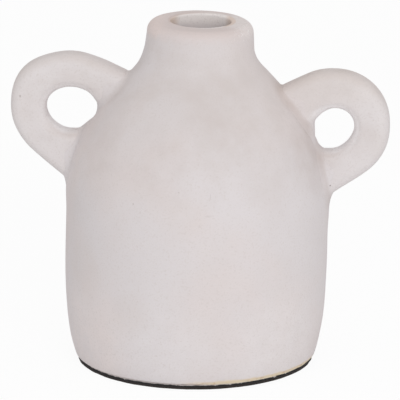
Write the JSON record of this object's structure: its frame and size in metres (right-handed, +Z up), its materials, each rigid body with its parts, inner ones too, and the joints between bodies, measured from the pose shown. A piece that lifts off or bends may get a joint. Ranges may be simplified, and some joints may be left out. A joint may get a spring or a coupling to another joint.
{
  "type": "two-handled bud vase",
  "caption": "Squat matte ceramic bud vase with a small round mouth, a thick lip and a flat-sided ring handle on each shoulder, standing on a thin foam pad.",
  "frame": {"origin": "middle of the base pad's underside, on the surface that the vase stands on", "axes": "+Z up, +X towards the handle on the right of the picture, -Y towards the viewer"},
  "size_m": [0.1518, 0.1052, 0.1397],
  "materials": {
    "ceramic": "matte white coat",
    "slip": "matte white coat over fired slip",
    "adhesive": "dull, yellowed",
    "foam": "matte foam"
  },
  "bodies": {
    "root": {"vessel_body": "ceramic", "left_handle": "ceramic", "right_handle": "ceramic", "left_upper_slip": "slip", "left_lower_slip": "slip", "right_upper_slip": "slip", "right_lower_slip": "slip", "pad_adhesive": "adhesive", "base_pad": "foam"}
  },
  "joints": []
}
